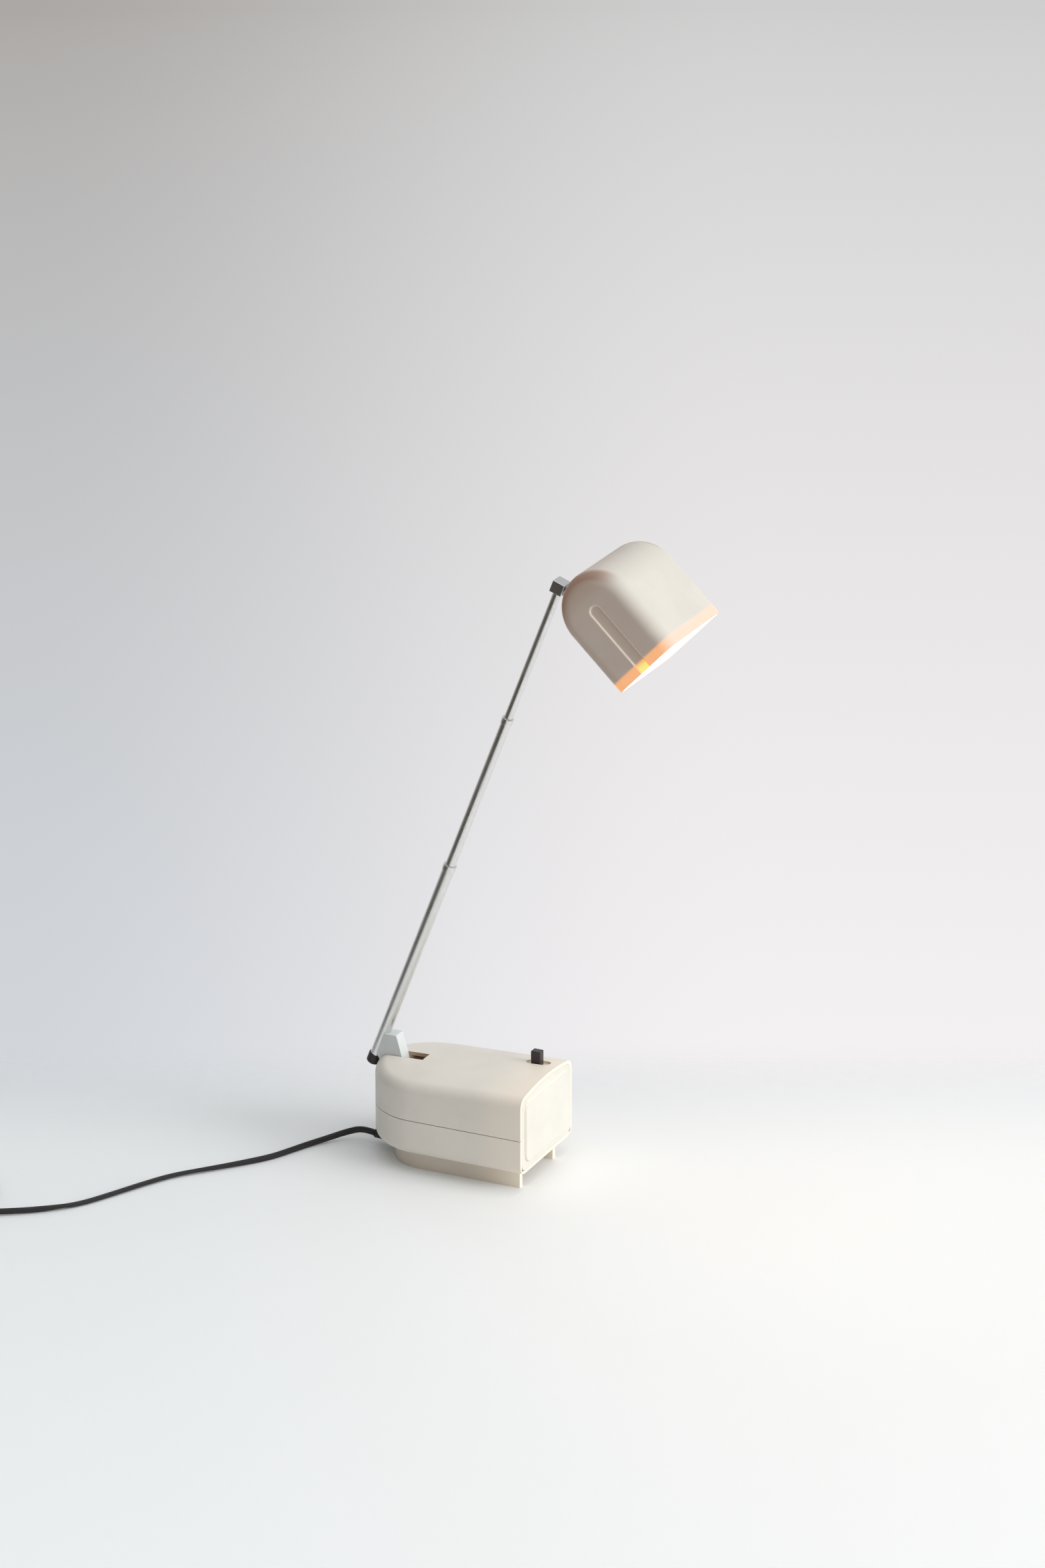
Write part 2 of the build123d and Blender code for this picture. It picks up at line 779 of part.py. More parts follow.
def loaf_form(inset, mouth=shade_straight):
    """The shade as a solid, drawn in by an inset, with its mouth at a place on its X axis."""
    radius = dome_radius - inset
    dome = ThreePointArc((0, radius), (-radius, 0), (0, -radius))
    sides = Polyline((0, -radius), (mouth, -radius), (mouth, radius), (0, radius))
    side = Plane.XZ * make_face([*dome.edges(), *sides.edges()])
    solid = extrude(side, shade_width / 2 - inset, both=True)
    rims = []
    for face in (solid.faces().sort_by(Axis.Y)[0], solid.faces().sort_by(Axis.Y)[-1]):
        rims += [edge for edge in face.edges() if (edge @ 0.5).X < mouth - fit_gap]
    return fillet(rims, shade_edge_radius - inset)


def polar(radius, angle):
    return radius * cos(angle), radius * sin(angle)


def shade():
    shell = loaf_form(0) - loaf_form(shade_wall, shade_straight + 1)
    top = shade_straight - groove_length
    for side in (-1, 1):
        y = side * shade_width / 2
        slot = Pos((top + groove_width / 2 + 2 * shade_straight) / 2, 0, 0) * Box(
            2 * shade_straight - top - groove_width / 2, 2 * groove_depth, groove_width
        )
        slot += Pos(top + groove_width / 2, 0, 0) * across(groove_width / 2, 2 * groove_depth)
        shell -= Pos(0, y, groove_rise) * slot
    for place in lug_screw_spots():
        shell -= place * Cylinder(lug_screw_radius, 4 * saddle_thickness)
    return shade_frame * shell


def lug_screw_spots():
    """On the dome's outer face, with Z pointing out of the dome."""
    spots = []
    for angle in (hinge_turn - lug_screw_spread, hinge_turn + lug_screw_spread):
        for side in (-1, 1):
            x, z = polar(dome_radius, angle)
            spots.append(
                Plane((x, side * lug_screw_y, z), x_dir=(0, 1, 0), z_dir=(cos(angle), 0, sin(angle)))
            )
    return spots


def head_lug():
    """A saddle on the dome with two cheeks that reach to the hinge."""
    outer = dome_radius + saddle_thickness
    first, last = hinge_turn - saddle_spread, hinge_turn + saddle_spread
    wedge = Polyline(
        (0, 0), polar(2 * outer, first), polar(3 * outer, hinge_turn), polar(2 * outer, last), (0, 0)
    )
    wedge = extrude(Plane.XZ * make_face(wedge), saddle_width / 2, both=True)
    lug = across(outer, saddle_width) & wedge
    reach = dome_radius + hinge_gap
    cheek = block((0, -fork_cheek / 2, -eye_radius), (reach, fork_cheek / 2, eye_radius))
    cheek += Pos(reach, 0, 0) * across(eye_radius, fork_cheek)
    for side in (-1, 1):
        lug += Rot(0, -hinge_turn, 0) * (Pos(0, side * (fork_gap + fork_cheek) / 2, 0) * cheek)
    lug -= across(dome_radius, 2 * saddle_width)
    lug -= Pos(hinge_x, 0, hinge_z) * across(hinge_pin_radius + running_gap, 2 * saddle_width)
    for place in lug_screw_spots():
        lug -= place * Cylinder(lug_screw_radius, 4 * saddle_thickness)
    return shade_frame * lug


def lug_screws():
    seat = saddle_thickness + fit_gap / 2
    shank = rod(lug_screw_radius, -lug_screw_reach, seat)
    head = rod(lug_screw_head_radius, seat, seat + lug_screw_head_height)
    head = fillet(head.faces().sort_by(Axis.Z)[-1].edges(), lug_screw_head_edge)
    return group([shade_frame * (place * (shank + head)) for place in lug_screw_spots()])


def reflector():
    gap = shade_wall + reflector_gap
    mouth = shade_straight - reflector_setback
    liner = loaf_form(gap, mouth) - loaf_form(gap + reflector_wall, shade_straight)
    liner -= Rot(0, 90, 0) * Cylinder(holder_radius + fit_gap, 2 * shade_height)
    return shade_frame * liner


def lamp_holder():
    back = dome_radius - shade_wall
    body = Pos((holder_front - back) / 2, 0, 0) * (
        Rot(0, 90, 0) * Cylinder(holder_radius, back + holder_front)
    )
    body &= loaf_form(shade_wall + fit_gap / 4)
    start = holder_floor - back
    body -= Pos((start + holder_front) / 2, 0, 0) * (
        Rot(0, 90, 0) * Cylinder(holder_bore, holder_front - start + fit_gap)
    )
    return shade_frame * body


def lamp_cap_start():
    return holder_floor - dome_radius + shade_wall + fit_gap


def bulb_cap():
    start = lamp_cap_start()
    body = Pos(start + lamp_cap_length / 2, 0, 0) * (
        Rot(0, 90, 0) * Cylinder(lamp_cap_radius, lamp_cap_length)
    )
    return shade_frame * body


def bulb_glass():
    start = lamp_cap_start() + lamp_cap_length
    turn = 180.0 - math.degrees(math.asin(lamp_neck_radius / lamp_globe_radius))
    shoulder_x = lamp_globe_x + lamp_globe_radius * cos(turn)
    top = (lamp_globe_x, lamp_globe_radius)
    outline = [
        *Polyline((lamp_globe_x + lamp_globe_radius, 0), (start, 0), (start, lamp_neck_radius)).edges(),
        *Line((start, lamp_neck_radius), (shoulder_x, lamp_neck_radius)).edges(),
        *ThreePointArc(
            (shoulder_x, lamp_neck_radius), top, (lamp_globe_x + lamp_globe_radius, 0)
        ).edges(),
    ]
    return shade_frame * revolve(make_face(outline), Axis.X)


# Cord
def turn_radii(points):
    """The largest arc that each corner's two runs leave room for."""
    radii = []
    for before, here, after in zip(points, points[1:], points[2:]):
        into, out = here - before, after - here
        shorter = min(into.length, out.length)
        radii.append(corner_share * shorter / tan(into.get_angle(out) / 2))
    return radii


def swept_tube(path, name):
    shape = sweep(Plane(path @ 0, z_dir=path % 0) * Circle(cord_radius), path=path)
    expected = math.pi * cord_radius**2 * path.length
    print(name, "length", round(path.length, 1), "volume to section times length", round(shape.volume / expected, 4))
    return shape


def cord_points():
    """The route's points, and the straight lead into the coil."""
    points = [Vector(*point) for point in cord_route]
    heading = coil_heading(0)
    entry = coil_point(0) - heading * 2 * cord_radius
    return points + [entry - heading * coil_approach, entry]


def cord():
    points = cord_points()
    radii = turn_radii(points)
    print("cord radii", [round(radius, 1) for radius in radii])
    return swept_tube(FilletPolyline(*points, radius=radii), "cord")


def coil_point(turn):
    """A place on the coil: in by one pitch a turn, up to the second layer as it reverses, and out again."""
    radius = coil_inner_radius + coil_pitch * abs(turn - coil_reversal)
    climb = min(1.0, max(0.0, (turn - coil_turns_per_layer) / coil_climb))
    angle = coil_start_angle - 360.0 * turn
    height = cord_radius + coil_lift + coil_layer * (1 - cos(180.0 * climb)) / 2
    return Vector(
        coil_centre[0] + radius * cos(angle),
        coil_centre[1] + radius * sin(angle),
        height,
    )


def coil_heading(turn):
    step = 0.005
    return (coil_point(turn + step) - coil_point(max(0.0, turn - step))).normalized()


def biarc(start, start_dir, end, end_dir):
    """Two arcs from one place and heading to another."""
    chord = end - start
    both = start_dir + end_dir
    spread = 2 * (1 - start_dir.dot(end_dir))
    along = chord.dot(both)
    reach = (math.sqrt(along**2 + spread * chord.dot(chord)) - along) / spread
    first, second = start + start_dir * reach, end - end_dir * reach
    joint = (first + second) * 0.5
    return [
        TangentArc(start, joint, tangent=start_dir),
        TangentArc(joint, end, tangent=second - first),
    ]


def coil_path():
    quarter_turns = round(coil_turns / 0.25)
    turns = [coil_turns * step / quarter_turns for step in range(quarter_turns + 1)]
    edges = [Line(coil_point(0) - coil_heading(0) * 2 * cord_radius, coil_point(0))]
    for turn, later in zip(turns, turns[1:]):
        edges += biarc(coil_point(turn), coil_heading(turn), coil_point(later), coil_heading(later))
    last = turns[-1]
    edges.append(Line(coil_point(last), coil_point(last) + coil_heading(last) * 2 * cord_radius))
    return Wire([edge for curve in edges for edge in curve.edges()])


def self_gap(path):
    """Least room between the coil's own turns, measured on points along it."""
    count = 900
    points = [path @ (step / count) for step in range(count + 1)]
    apart = int(count * 4 * coil_inner_radius / path.length)
    least = min(
        (points[i] - points[j]).length for i in range(count + 1) for j in range(i + apart, count + 1)
    )
    return least - 2 * cord_radius


def cord_coil():
    path = coil_path()
    print("coil gap to itself", round(self_gap(path), 2))
    return swept_tube(path, "coil")


def coil_ties():
    low = coil_inner_radius - cord_radius
    high = coil_inner_radius + coil_pitch * (coil_turns - coil_reversal) + cord_radius
    width = high - low + 2 * tie_gap
    tall = 2 * cord_radius + coil_layer + 2 * tie_gap
    ring = RectangleRounded(width + 2 * tie_thickness, tall + 2 * tie_thickness, cord_radius + tie_thickness)
    ring -= RectangleRounded(width, tall, cord_radius)
    band = extrude(Plane.XZ * ring, tie_width / 2, both=True)
    middle = (low + high) / 2
    height = cord_radius + coil_lift + coil_layer / 2
    children = []
    for angle in tie_angles:
        place = Pos(*coil_centre, height) * Rot(0, 0, angle) * Pos(middle, 0, 0)
        children.append(place * band)
    return group(children)


def tail_frame():
    """Where the tail leaves the coil: X along the cord, Z up."""
    last = coil_turns
    heading = coil_heading(last)
    level = Vector(heading.X, heading.Y, 0).normalized()
    return Plane(coil_point(last) + heading * 2 * cord_radius, x_dir=level, z_dir=(0, 0, 1))


def cord_tail():
    points = [
        Vector(0, 0, 0),
        Vector(tail_length / 3, 0, 0),
        Vector(tail_length * 2 / 3, 0, -tail_drop),
        Vector(tail_length, 0, -tail_drop),
    ]
    return tail_frame() * swept_tube(FilletPolyline(*points, radius=turn_radii(points)), "tail")


def plug_frame():
    return tail_frame() * Pos(tail_length, 0, -tail_drop)


def plug_body():
    half_nose, half = plug_nose_width / 2, plug_width / 2
    side = [(0, plug_neck), (plug_waist, half_nose), (plug_shoulder, half), (plug_length, half)]
    plan = Polyline(*side, *[(x, -y) for x, y in reversed(side)], side[0])
    body = extrude(make_face(plan), plug_height / 2, both=True)
    body = fillet(body.edges().filter_by(Axis.Z), plug_neck / 2)
    faces = body.faces().sort_by(Axis.Z)
    body = fillet([*faces[0].edges(), *faces[-1].edges()], plug_neck / 2)
    for side in (-1, 1):
        body -= Pos(plug_length, side * pin_spacing / 2, 0) * (
            Rot(0, 90, 0) * Cylinder(pin_radius, 2 * pin_sunk)
        )
    return plug_frame() * body


def plug_pins():
    length = pin_length + pin_sunk
    pin = Rot(0, 90, 0) * Cylinder(pin_radius, length)
    pin = fillet(pin.faces().sort_by(Axis.X)[-1].edges(), pin_radius / 2)
    middle = plug_length - pin_sunk + length / 2
    return group(
        [
            plug_frame() * (Pos(middle, side * pin_spacing / 2, 0) * pin) for side in (-1, 1)
        ]
    )


lamp_pieces = [
    base_upper_shell, base_lower_shell, front_panel, foot_skirt, base_screws, foot_screws,
    pivot_pin, pivot_clip, switch_body, switch_screws, switch_knob,
    transformer_core, transformer_winding, transformer_strap, transformer_screws, terminal_block,
    arm_bracket, bracket_rivets, outer_tube, end_cap, outer_collar,
    middle_tube, middle_slider, middle_collar, upper_tube, upper_slider,
    knuckle, hinge_pin, hinge_washers, shade, head_lug, lug_screws, reflector,
    lamp_holder, bulb_cap, bulb_glass,
]
cord_pieces = [
    strain_relief, mains_lead, cord, cord_coil, coil_ties, cord_tail, plug_body, plug_pins,
]

lamp = {piece.__name__: piece() for piece in lamp_pieces}
leads = {piece.__name__: piece() for piece in cord_pieces}

# The origin is on the floor, under the middle of the lamp without its cord
boxes = [shape.bounding_box() for shape in lamp.values()]
middle_x = (min(box.min.X for box in boxes) + max(box.max.X for box in boxes)) / 2
to_origin = Pos(-middle_x, 0, 0)

os.makedirs("parts", exist_ok=True)
for name, shape in {**lamp, **leads}.items():
    export_step(to_origin * shape, f"parts/{name}.step")

for name, place in (
    ("back of the base", Vector(0, 0, 0)),
    ("arm pivot", Vector(pivot_x, 0, pivot_z)),
    ("shade hinge", hinge_point),
    ("shade centre", shade_frame.origin),
    ("foot of the arm", arm_frame.origin),
):
    print(name, [round(value, 3) for value in place - Vector(middle_x, 0, 0)])
print("arm direction", [round(value, 5) for value in arm_frame.z_dir])
print("mouth direction", [round(value, 5) for value in mouth_dir])
print("travels", middle_travel, round(upper_travel, 3), switch_travel)
print("arm turns", -arm_elevation, arm_upright - arm_elevation, "tilt", tilt_fold, tilt_open)
print("swivel", swivel_range)
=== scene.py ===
import json
import math

import bpy
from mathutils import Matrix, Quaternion, Vector


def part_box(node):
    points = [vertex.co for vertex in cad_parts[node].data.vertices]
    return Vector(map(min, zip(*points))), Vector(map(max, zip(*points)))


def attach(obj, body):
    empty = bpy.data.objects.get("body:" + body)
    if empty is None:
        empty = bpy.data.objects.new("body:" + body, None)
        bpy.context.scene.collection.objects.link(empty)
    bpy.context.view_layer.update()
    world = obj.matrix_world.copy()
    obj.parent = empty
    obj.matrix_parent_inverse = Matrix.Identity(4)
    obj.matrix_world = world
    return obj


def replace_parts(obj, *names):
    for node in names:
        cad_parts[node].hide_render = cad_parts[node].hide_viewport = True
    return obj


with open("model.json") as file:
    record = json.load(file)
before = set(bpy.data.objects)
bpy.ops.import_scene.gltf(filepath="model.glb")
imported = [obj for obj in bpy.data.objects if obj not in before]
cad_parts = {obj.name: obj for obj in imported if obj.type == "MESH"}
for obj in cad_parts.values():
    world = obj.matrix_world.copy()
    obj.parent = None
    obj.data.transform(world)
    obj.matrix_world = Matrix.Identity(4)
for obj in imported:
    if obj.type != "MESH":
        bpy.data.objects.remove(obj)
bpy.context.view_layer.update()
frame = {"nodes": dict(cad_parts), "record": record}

nodes = frame["nodes"]
joints = {joint["name"]: joint for joint in frame["record"]["behaviour"]["joints"]}
MM = 0.001
lengthways = Vector((1.0, 0.0, 0.0))
crossways = Vector((0.0, 1.0, 0.0))
upwards = Vector((0.0, 0.0, 1.0))

# Base: the plateau on its front panel, and the arm's slot in its roof
back_of_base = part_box("base_lower_shell")[0][0]
plateau_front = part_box("front_panel")[1][0]
plateau_proud = 1.4 * MM
base_front = plateau_front - plateau_proud
slot_half = 5.25 * MM
slot_end = back_of_base + 33.0 * MM
slot_floor = 48.05 * MM

# Camera, as fitted to the photo, and its ways over the floor
camera_place = (back_of_base + 1.56789, -3.10055, 1.53746)
camera_yaw = 0.44119
camera_pitch = 0.35356
focal_pixels = 8500.0
photo_height = 2352
sensor_height = 36.0
camera_reach = 60.0
right = Vector((math.cos(camera_yaw), math.sin(camera_yaw), 0.0))
away = Vector((-math.sin(camera_yaw), math.cos(camera_yaw), 0.0))

# Shade: the way out of its mouth, its sizes and its centre
shade_pitch = math.radians(43.9)
mouth_dir = Vector((math.cos(shade_pitch), 0.0, -math.sin(shade_pitch)))
shade_up = Vector((math.sin(shade_pitch), 0.0, math.cos(shade_pitch)))
shade_straight = 46.6 * MM
shade_half_height = 27.0 * MM
shade_half_width = 40.0 * MM
shade_edge_radius = 9.0 * MM
shade_wall = 2.0 * MM
groove_half = 4.2 * MM
groove_length = 52.0 * MM
groove_rise = 1.0 * MM
groove_depth = 0.9 * MM
hinge_off_shade = 9.1 * MM
hinge_reach = shade_half_height + hinge_off_shade
hinge_turn = math.radians(227.7)
hinge = Vector(joints["head_tilt"]["pos_m"])
shade_centre = hinge - (mouth_dir * math.cos(hinge_turn) + shade_up * math.sin(hinge_turn)) * hinge_reach
arm_run = Vector(joints["middle_slide"]["axis"])

# Cord route, from the back of the base and the floor, in millimetres: as in the CAD, apart from the second to
# the fifth point, which are moved by up to 4 mm to follow the photo
cord_route = [
    (-3.0, -4.0, 8.0),
    (-12.0, -4.0, 10.0),
    (-24.0, -6.5, 5.8),
    (-34.0, -16.0, 2.9),
    (-41.5, -28.5, 2.3),
    (-47.0, -41.5, 2.3),
    (-54.0, -57.0, 2.2),
    (-66.0, -73.0, 2.3),
    (-82.0, -91.0, 2.2),
    (-99.0, -109.0, 2.2),
    (-110.0, -130.0, 2.3),
    (-121.0, -153.0, 2.2),
    (-132.0, -175.0, 2.2),
    (-149.0, -195.0, 2.5),
    (-172.0, -211.0, 3.0),
]
route_resolution = 8

# Coil and tail of the cord, as in the CAD, in millimetres and degrees
cord_radius = 2.2
coil_lift = 1.5
coil_centre = (-222.0, -198.5)
coil_inner_radius = 13.0
coil_turns_per_layer = 4.5
coil_climb = 0.5
coil_pitch = 5.0
coil_layer = 4.9
coil_start_angle = -59.3
coil_last_turn = -0.24
coil_approach = 15.0
coil_points_per_turn = 16
tail_length = 40.0
tail_drop = 2.6

# Flat twin flex: its section, with the turns of the points round each core, and how far it is turned on
# edge at distances along it, all turns in degrees
cord_width = 4.4 * MM
cord_thickness = 2.7 * MM
core_turns = range(-100, 101, 25)
flex_twists = [
    (0.0, 90.0),
    (0.075, 75.0),
    (0.16, 15.0),
    (0.225, 10.0),
    (0.255, 70.0),
    (0.30, 80.0),
    (0.37, 0.0),
]

# A stretch of flex that leans by less than this share of its length rises straight up
steep_share = 0.2

# Where on its level run the lead inside the casing starts to bend, and where on its upright run it ends
lead_bend_start = 0.4
lead_bend_end = 0.5


# Camera
def make_camera():
    data = bpy.data.cameras.new("photo_camera")
    data.sensor_fit = "VERTICAL"
    data.sensor_height = sensor_height
    data.lens = sensor_height * focal_pixels / photo_height
    data.clip_end = camera_reach
    camera = bpy.data.objects.new("photo_camera", data)
    camera.location = camera_place
    camera.rotation_euler = (math.pi / 2 - camera_pitch, 0.0, camera_yaw)
    bpy.context.collection.objects.link(camera)
    bpy.context.scene.camera = camera


make_camera()
bpy.context.scene.view_settings.view_transform = "Standard"


# Shader nodes
edge_samples = 6


class NodeTree:
    """A node tree, with short calls for the nodes used here."""

    def __init__(self, tree, coordinate):
        self.tree = tree
        self.place = self.add("ShaderNodeTexCoord").outputs[coordinate]

    def add(self, kind, **settings):
        node = self.tree.nodes.new(kind)
        for name, value in settings.items():
            setattr(node, name, value)
        return node

    def put(self, socket, value):
        """A link or a constant into a socket; a colour of three parts gets an alpha of 1."""
        if isinstance(value, bpy.types.NodeSocket):
            self.tree.links.new(value, socket)
        elif isinstance(value, tuple) and len(value) < len(socket.default_value):
            socket.default_value = (*value, 1.0)
        else:
            socket.default_value = value

    def math(self, operation, a, b=0.0):
        node = self.add("ShaderNodeMath", operation=operation)
        self.put(node.inputs[0], a)
        self.put(node.inputs[1], b)
        return node.outputs[0]

    def minus(self, a, b):
        return self.math("SUBTRACT", a, b)

    def product(self, first, *others):
        for other in others:
            first = self.math("MULTIPLY", first, other)
        return first

    def diagonal(self, a, b):
        """The length of a straight line that goes a one way and b square to it."""
        return self.math("SQRT", self.math("ADD", self.product(a, a), self.product(b, b)))

    def along(self, direction, zero=0.0):
        """Distance of the point along a direction, from a zero."""
        node = self.add("ShaderNodeVectorMath", operation="DOT_PRODUCT")
        self.put(node.inputs[0], self.place)
        node.inputs[1].default_value = direction
        return self.minus(node.outputs["Value"], zero)

    def ramp(self, value, low, high, to_low=0.0, to_high=1.0):
        """A smooth step from to_low at low to to_high at high."""
        node = self.add("ShaderNodeMapRange", interpolation_type="SMOOTHSTEP")
        for socket, given in zip(node.inputs, (value, low, high, to_low, to_high)):
            self.put(socket, given)
        return node.outputs[0]

    def mix(self, factor, a, b):
        """One colour fading into another."""
        node = self.add("ShaderNodeMix", data_type="RGBA")
        for name, value in (("Factor_Float", factor), ("A_Color", a), ("B_Color", b)):
            self.put(next(s for s in node.inputs if s.identifier == name), value)
        return next(s for s in node.outputs if s.identifier == "Result_Color")

    def blend(self, factor, a, b):
        """One shader fading into another."""
        node = self.add("ShaderNodeMixShader")
        for socket, value in zip(node.inputs, (factor, a, b)):
            self.put(socket, value)
        return node.outputs[0]

    def ray(self, kind):
        """1 for one kind of ray, such as those from the camera."""
        return self.add("ShaderNodeLightPath").outputs[kind]

    def noise(self, scale, detail=3.0, run=None, stretch=1.0):
        """A noise, drawn out along a run by a stretch where one is given."""
        node = self.add("ShaderNodeTexNoise")
        node.inputs["Scale"].default_value = scale
        node.inputs["Detail"].default_value = detail
        place = self.place
        if run is not None:
            side = run.orthogonal().normalized()
            drawn = self.add("ShaderNodeCombineXYZ")
            for socket, direction in zip(drawn.inputs, (side, run.cross(side), run / stretch)):
                self.put(socket, self.along(direction))
            place = drawn.outputs[0]
        self.put(node.inputs["Vector"], place)
        return node.outputs["Fac"]


class Shader(NodeTree):
    """A material with one main surface."""

    def __init__(self, name):
        self.material = bpy.data.materials.new(name)
        self.material.use_nodes = True
        super().__init__(self.material.node_tree, "Object")
        self.surface = self.tree.nodes["Principled BSDF"]
        self.output = self.tree.nodes["Material Output"].inputs["Surface"]

    def set(self, name, value):
        self.put(self.surface.inputs[name], value)

    def tint(self, mask, colour):
        """A colour mixed into the surface's own where the mask is 1."""
        socket = self.surface.inputs["Base Color"]
        self.put(socket, self.mix(mask, socket.links[0].from_socket, colour))

    def bump(self, height, strength, distance, edge=0.0):
        """Fine relief on the surface, and edges that look rounded over by a radius."""
        node = self.add("ShaderNodeBump")
        node.inputs["Strength"].default_value = strength
        node.inputs["Distance"].default_value = distance
        self.put(node.inputs["Height"], height)
        if edge:
            bevel = self.add("ShaderNodeBevel", samples=edge_samples)
            bevel.inputs["Radius"].default_value = edge
            self.put(node.inputs["Normal"], bevel.outputs[0])
        self.set("Normal", node.outputs[0])


def srgb(red, green, blue):
    """A colour as it looks on a screen, in linear light."""
    def linear(value):
        value /= 255.0
        return value / 12.92 if value <= 0.04045 else ((value + 0.055) / 1.055) ** 2.4
    return linear(red), linear(green), linear(blue)


def tones(colour, shares):
    """The colour at each of some shares of its brightness."""
    return [tuple(min(1.0, part * share) for part in colour) for share in shares]


def dress(shader, *names):
    """A material for CAD nodes, in place of the one they came with."""
    for name in names:
        slots = nodes[name].data.materials
        slots.clear()
        slots.append(shader.material)


# Plastic: the scale of each of its noises, the span of values that counts, and what changes over that span
cloud_scale = 38.0
cloud_span = (0.3, 0.7)
cloud_shares = (0.965, 1.02)
patch_scale = 9.0
patch_span = (0.5, 0.8)
patch_weights = (0.0, 0.35)
sheen_scale = 160.0
sheen_span = (0.2, 0.8)
sheen_changes = (-0.05, 0.07)
grain_scale = 2600.0
grain_height = 0.08 * MM
plastic_specular = 0.4
soft_edge = 0.3 * MM


def plastic(name, colour, roughness=0.42, grain=0.10, aged=None, edge=soft_edge):
    """Moulded plastic: a fine spark-eroded grain, soft mottling and, given a colour, aged patches."""
    shader = Shader(name)
    cloud = shader.ramp(shader.noise(cloud_scale, detail=4.0), *cloud_span)
    body = shader.mix(cloud, *tones(colour, cloud_shares))
    if aged:
        patch = shader.ramp(shader.noise(patch_scale, detail=2.0), *patch_span, *patch_weights)
        body = shader.mix(patch, body, aged)
    shader.set("Base Color", body)
    sheens = [roughness + change for change in sheen_changes]
    shader.set("Roughness", shader.ramp(shader.noise(sheen_scale), *sheen_span, *sheens))
    shader.set("Specular IOR Level", plastic_specular)
    shader.bump(shader.noise(grain_scale, detail=2.0), grain, grain_height, edge)
    return shader


# Metal: the same for its streaks and its dull places
streak_scale = 700.0
tube_streak_scale = 1500.0
streak_stretch = 30.0
streak_span = (0.3, 0.7)
streak_shares = (0.98, 1.02)
dull_scale = 90.0
dull_span = (0.3, 0.75)
dull_shares = (0.85, 1.2)


def metal(name, colour, roughness, run=None, scale=streak_scale):
    """Plated or drawn metal, with fine streaks along the way it was drawn."""
    shader = Shader(name)
    shader.set("Metallic", 1.0)
    streaks = shader.ramp(shader.noise(scale, detail=2.0, run=run, stretch=streak_stretch), *streak_span)
    shader.set("Base Color", shader.mix(streaks, *tones(colour, streak_shares)))
    dulls = [roughness * share for share in dull_shares]
    shader.set("Roughness", shader.ramp(shader.noise(dull_scale), *dull_span, *dulls))
    return shader


# Base: plastic with painted light from the lamp towards the front, painted shade and warm glow in the arm's
# slot, and painted light on the plateau's step
casing_colour = srgb(226, 221, 212)
casing_front_lamp_lit_colour = srgb(240, 230, 216)
slot_shade_and_glow_colour = srgb(190, 166, 143)
panel_colour = srgb(222, 219, 210)
plateau_step_light_colour = srgb(254, 247, 230)
foot_colour = srgb(221, 211, 197)
foot_front_lamp_lit_colour = srgb(252, 241, 224)
aged_colour = srgb(222, 212, 196)
panel_soft_edge = 0.6 * MM
paling_length = 45.0 * MM

# How far past the slot its painted shade and glow begins and is full, and the same from the two ends of the
# plateau's step
slot_fade = (0.4 * MM, 0.1 * MM)
step_foot_fade = (0.05 * MM, 0.25 * MM)
step_top_fade = (0.1 * MM, 0.5 * MM)


def towards_front(shader):
    """0 over most of the base, rising to 1 at its front."""
    return shader.ramp(shader.along(lengthways), base_front - paling_length, base_front)


def in_slot(shader):
    """1 on the walls and the floor of the arm's slot."""
    side = shader.math("ABSOLUTE", shader.along(crossways))
    return shader.product(
        shader.ramp(side, *(slot_half + past for past in slot_fade)),
        shader.ramp(shader.along(lengthways), *(slot_end + past for past in slot_fade)),
        shader.ramp(shader.along(upwards), *(slot_floor - past for past in slot_fade)),
    )


def on_plateau_edge(shader):
    """1 on the low step between the panel and its plateau, which is painted pale as painted light over its
    shade.
    """
    out = shader.along(lengthways)
    return shader.product(
        shader.ramp(out, *(base_front + past for past in step_foot_fade)),
        shader.ramp(out, *(plateau_front - past for past in step_top_fade)),
    )


def dress_base():
    casing = plastic("casing_plastic", casing_colour, aged=aged_colour)
    # Painted light: the casing is painted paler and warmer towards its front, where the lamp's light falls
    casing.tint(towards_front(casing), casing_front_lamp_lit_colour)
    # Painted shade with a warm glow of light through the casing: the slot's walls and floor are painted
    # darker and brown
    casing.tint(in_slot(casing), slot_shade_and_glow_colour)
    dress(casing, "base_upper_shell", "base_lower_shell")
    panel = plastic("panel_plastic", panel_colour, aged=aged_colour, edge=panel_soft_edge)
    # Painted light: the step round the plateau is painted pale, over the shade it would get
    panel.tint(on_plateau_edge(panel), plateau_step_light_colour)
    dress(panel, "front_panel")
    foot = plastic("foot_plastic", foot_colour, aged=aged_colour)
    # Painted light: the foot is painted paler and warmer towards its front, where the lamp's light falls
    foot.tint(towards_front(foot), foot_front_lamp_lit_colour)
    dress(foot, "foot_skirt")


# Small parts of plastic, and parts of metal
def dress_small_parts():
    dress(plastic("bracket_plastic", srgb(214, 219, 219), roughness=0.35), "arm_bracket")
    dress(plastic("lug_plastic", srgb(222, 224, 222), roughness=0.3), "head_lug")
    dress(plastic("black_plastic", srgb(46, 42, 42), roughness=0.4), "end_cap", "switch_body")
    dress(plastic("knob_plastic", srgb(60, 54, 54), roughness=0.45), "switch_knob")
    dress(plastic("tie_plastic", srgb(30, 29, 30), roughness=0.5), "coil_ties", "strain_relief")
    dress(plastic("plug_plastic", srgb(33, 32, 33), roughness=0.45), "plug_body")
    nylon = plastic("nylon", srgb(224, 221, 210), roughness=0.5)
    dress(nylon, "middle_slider", "upper_slider", "terminal_block")
    dress(plastic("winding_tape", srgb(196, 168, 92), roughness=0.6), "transformer_winding")
    dress(plastic("lamp_ceramic", srgb(236, 232, 222), roughness=0.25), "lamp_holder")


